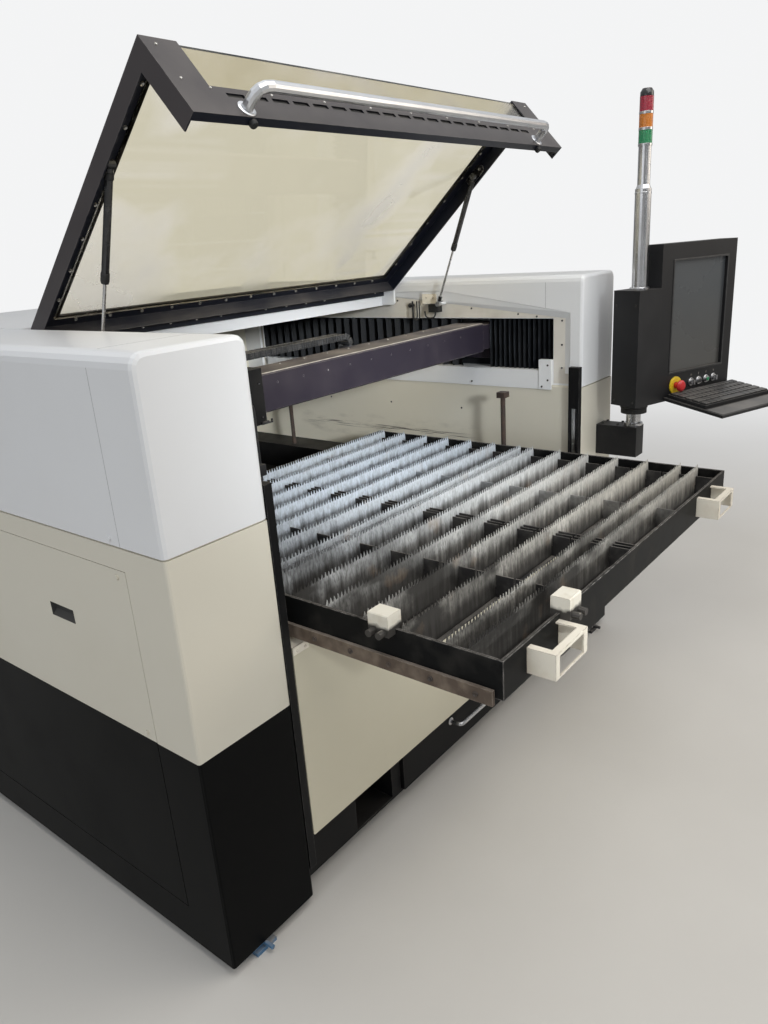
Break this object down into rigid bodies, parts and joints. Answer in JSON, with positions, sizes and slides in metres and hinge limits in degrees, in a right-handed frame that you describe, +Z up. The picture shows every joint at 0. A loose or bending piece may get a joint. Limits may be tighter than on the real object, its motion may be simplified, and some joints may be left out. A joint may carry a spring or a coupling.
{
  "type": "fiber laser cutting machine",
  "caption": "Enclosed flatbed laser cutter: two columns, raised windowed lid on gas struts, gantry with cutting head, pulled-out slat bed, lowered door, swivelling console with signal tower.",
  "frame": {"origin": "centre of the underside of the front left levelling foot", "axes": "+X along the width, to the console's side; +Y from the front to the back; +Z up"},
  "size_m": [2.3438, 2.3673, 1.9757],
  "materials": {
    "cover_white": "satin white powder coat",
    "panel_cream": "satin off-white powder coat, dusty",
    "base_black": "satin black powder coat",
    "frame_black": "black powder coat, sooty",
    "lid_brown": "dark brown-grey powder coat",
    "pane_bronze": "bronze-tinted acrylic, wiped dusty",
    "tube_steel": "satin",
    "strut_black": "gloss black",
    "bright_steel": "bright",
    "bellows_black": "matt",
    "gantry_plum": "dark purple-brown paint, dusty",
    "slat_zinc": "raw zinc steel, sooty and scaled",
    "rust_brown": "rusty brown",
    "handle_cream": "chipped cream paint",
    "console_black": "matt anthracite",
    "screen_glass": "dark screen, dusty",
    "button_red": "gloss red",
    "lens_red": "translucent red",
    "lens_amber": "translucent amber",
    "lens_green": "translucent green",
    "foot_blue": "blue-grey paint"
  },
  "bodies": {
    "machine": {"bed_frame": "frame_black", "bellows_left_front": "bellows_black", "bellows_left_rear": "bellows_black", "bellows_right_front": "bellows_black", "bellows_right_rear": "bellows_black", "console_bracket": "console_black", "door_guide_left": "frame_black", "door_guide_right": "frame_black", "foot_front_left": "foot_blue", "foot_front_right": "foot_blue", "foot_rear_left": "foot_blue", "foot_rear_right": "foot_blue", "hinge_rail": "frame_black", "left_base": "base_black", "left_cover": "cover_white", "left_panel": "panel_cream", "lid_switch": "console_black", "post_front": "rust_brown", "post_rear": "rust_brown", "rear_wall": "panel_cream", "right_base": "base_black", "right_cover": "cover_white", "right_panel": "panel_cream", "service_panel": "panel_cream", "top_cover": "cover_white"},
    "door": {"front_door": "panel_cream"},
    "lid": {"lid_frame": "lid_brown", "lid_pane": "pane_bronze", "lid_handle": "tube_steel"},
    "strut_cylinder_left": {"strut_cylinder_left": "strut_black"},
    "strut_rod_left": {"strut_rod_left": "bright_steel"},
    "strut_cylinder_right": {"strut_cylinder_right": "strut_black"},
    "strut_rod_right": {"strut_rod_right": "bright_steel"},
    "bed": {"bed_tray": "frame_black", "slat_grid": "slat_zinc", "runner_left": "rust_brown", "runner_right": "rust_brown", "bed_handle_left": "handle_cream", "bed_handle_right": "handle_cream", "clamp_left": "handle_cream", "clamp_front": "handle_cream"},
    "gantry": {"gantry_beam": "gantry_plum", "energy_chain": "bellows_black"},
    "carriage": {"head_carriage": "frame_black"},
    "head": {"cutting_head": "console_black"},
    "scrap": {"scrap_box": "frame_black", "scrap_handle": "bright_steel"},
    "console": {"console_housing": "console_black", "screen": "screen_glass", "keyboard_tray": "console_black", "tower_pole": "bright_steel", "lens_green": "lens_green", "lens_amber": "lens_amber", "lens_red": "lens_red"},
    "stop_button": {"stop_button": "button_red"},
    "key_switch": {"key_switch": "bright_steel"},
    "start_button": {"start_button": "bright_steel"},
    "laser_button": {"laser_button": "bright_steel"},
    "mode_selector": {"mode_selector": "bright_steel"}
  },
  "joints": [
    {"name": "lid_hinge", "type": "hinge", "parent": "machine", "child": "lid", "pos_m": [0.932, 0.8, 1.413], "axis": [1, 0, 0], "range_deg": [0, 41.5]},
    {"name": "bed_slide", "type": "slide", "parent": "machine", "child": "bed", "axis": [0, 1, 0], "range_m": [0, 0.663]},
    {"name": "gantry_slide", "type": "slide", "parent": "machine", "child": "gantry", "axis": [0, 1, 0], "range_m": [-0.13, 1], "deforming": ["bellows_left_front", "bellows_left_rear", "bellows_right_front", "bellows_right_rear"]},
    {"name": "head_slide_x", "type": "slide", "parent": "gantry", "child": "carriage", "axis": [1, 0, 0], "range_m": [0, 1.05], "deforming": ["energy_chain"]},
    {"name": "head_slide_z", "type": "slide", "parent": "carriage", "child": "head", "axis": [0, 0, 1], "range_m": [-0.015, 0.04]},
    {"name": "door_lift", "type": "slide", "parent": "machine", "child": "door", "axis": [0, 0, 1], "range_m": [0, 0.008]},
    {"name": "scrap_box_slide", "type": "slide", "parent": "machine", "child": "scrap", "axis": [0, -1, 0], "range_m": [0, 0.6]},
    {"name": "console_swivel", "type": "hinge", "parent": "machine", "child": "console", "pos_m": [1.874, -0.169, 0.968], "axis": [0, 0, 1], "range_deg": [-60, 60]},
    {"name": "stop_button_push", "type": "slide", "parent": "console", "child": "stop_button", "axis": [0.342, 0.9397, 0], "range_m": [0, 0.005]},
    {"name": "key_turn", "type": "hinge", "parent": "console", "child": "key_switch", "pos_m": [2.01757, -0.32129, 1.02], "axis": [0.342, 0.9397, 0], "range_deg": [0, 90]},
    {"name": "start_button_push", "type": "slide", "parent": "console", "child": "start_button", "axis": [0.342, 0.9397, 0], "range_m": [0, 0.004], "stiffness_N_per_m": 400},
    {"name": "laser_button_push", "type": "slide", "parent": "console", "child": "laser_button", "axis": [0.342, 0.9397, 0], "range_m": [0, 0.004], "stiffness_N_per_m": 400},
    {"name": "mode_selector_turn", "type": "hinge", "parent": "console", "child": "mode_selector", "pos_m": [2.13456, -0.36387, 1.02], "axis": [0.342, 0.9397, 0], "range_deg": [-45, 45]},
    {"name": "strut_pivot_left", "type": "hinge", "parent": "lid", "child": "strut_cylinder_left", "pos_m": [0.2, 0.35811, 1.76923], "axis": [1, 0, 0], "range_deg": [0, 17.31]},
    {"name": "strut_slide_left", "type": "slide", "parent": "strut_cylinder_left", "child": "strut_rod_left", "axis": [0, -0.3681, 0.9298], "range_m": [0, 0.16881]},
    {"name": "strut_pivot_right", "type": "hinge", "parent": "lid", "child": "strut_cylinder_right", "pos_m": [1.664, 0.35811, 1.76923], "axis": [1, 0, 0], "range_deg": [0, 17.31]},
    {"name": "strut_slide_right", "type": "slide", "parent": "strut_cylinder_right", "child": "strut_rod_right", "axis": [0, -0.3681, 0.9298], "range_m": [0, 0.16881]}
  ],
  "couplings": [
    {"joint": "strut_pivot_left", "follows": "lid_hinge", "ratio": 0.409},
    {"joint": "strut_slide_left", "follows": "lid_hinge", "m_per_rad": 0.22849},
    {"joint": "strut_pivot_right", "follows": "lid_hinge", "ratio": 0.409},
    {"joint": "strut_slide_right", "follows": "lid_hinge", "m_per_rad": 0.22849}
  ]
}
